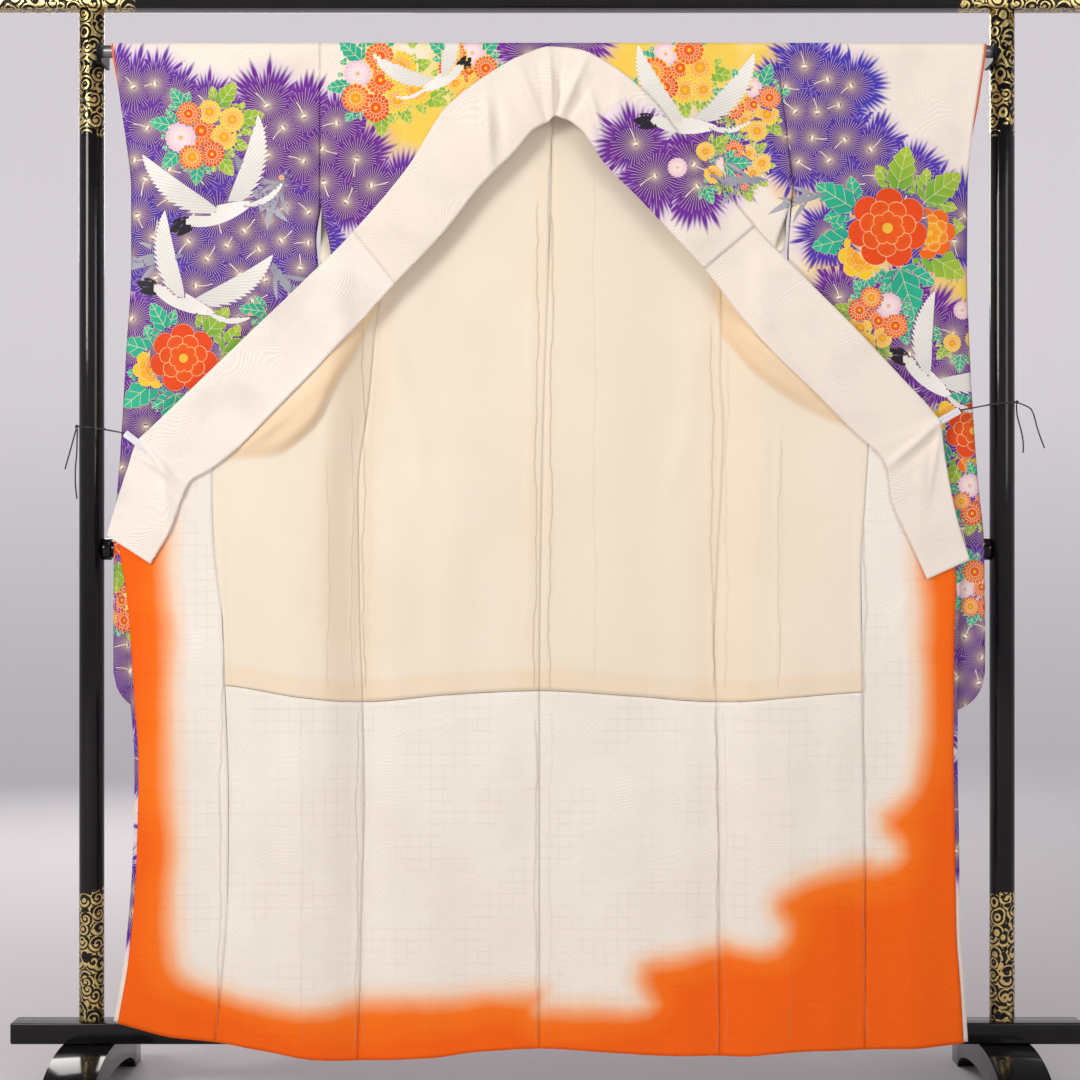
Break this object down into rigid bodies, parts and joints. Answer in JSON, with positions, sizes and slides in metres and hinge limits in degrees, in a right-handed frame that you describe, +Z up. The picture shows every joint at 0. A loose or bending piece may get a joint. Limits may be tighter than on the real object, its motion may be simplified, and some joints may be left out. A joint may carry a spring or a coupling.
{
  "type": "furisode on a kimono stand",
  "caption": "Long-sleeved kimono hung open on a black lacquered kimono stand, its fronts drawn aside by clips on strings to show the lining.",
  "frame": {"origin": "on the floor, under the middle of the stand", "axes": "+X along the stand to the viewer's right, -Y towards the viewer who sees the opened garment, +Z up"},
  "size_m": [1.78, 0.42, 1.736],
  "materials": {
    "dyed_silk": "figured silk, dyed and printed, satin sheen",
    "white_figured_silk": "white figured silk, satin sheen",
    "cream_lining": "plain woven silk lining, soft matte sheen",
    "hem_lining": "white silk lining shaded to orange at the hem",
    "orange_lining": "orange silk facing, soft sheen",
    "black_lacquer": "glossy black lacquer with gold scrollwork",
    "rod_steel": "satin grey steel tube",
    "bracket_steel": "satin black",
    "clip_plastic": "pale blue-white, satin",
    "black_string": "twisted black cord"
  },
  "bodies": {
    "root": {"body_left": "dyed_silk", "body_right": "dyed_silk", "bracket_left": "bracket_steel", "bracket_right": "bracket_steel", "clip_left": "clip_plastic", "clip_right": "clip_plastic", "collar_left": "white_figured_silk", "collar_right": "white_figured_silk", "cuff_left": "orange_lining", "cuff_right": "orange_lining", "foot_left": "black_lacquer", "foot_rail": "black_lacquer", "foot_right": "black_lacquer", "front_left": "dyed_silk", "front_right": "dyed_silk", "knot_left": "black_string", "knot_right": "black_string", "lining_back_lower_left": "hem_lining", "lining_back_lower_right": "hem_lining", "lining_back_upper_left": "cream_lining", "lining_back_upper_right": "cream_lining", "lining_front_lower_left": "hem_lining", "lining_front_lower_right": "hem_lining", "lining_front_upper_left": "cream_lining", "lining_front_upper_right": "cream_lining", "lining_okumi_left": "hem_lining", "lining_okumi_right": "hem_lining", "mid_rail": "black_lacquer", "okumi_left": "dyed_silk", "okumi_right": "dyed_silk", "over_collar": "white_figured_silk", "post_left": "black_lacquer", "post_right": "black_lacquer", "rod": "rod_steel", "sleeve_left": "dyed_silk", "sleeve_right": "dyed_silk", "string_left_back": "black_string", "string_left_front": "black_string", "string_left_tail": "black_string", "string_left_tail_long": "black_string", "string_right_back": "black_string", "string_right_front": "black_string", "string_right_tail": "black_string", "string_right_tail_long": "black_string", "top_rail": "black_lacquer"}
  },
  "joints": []
}
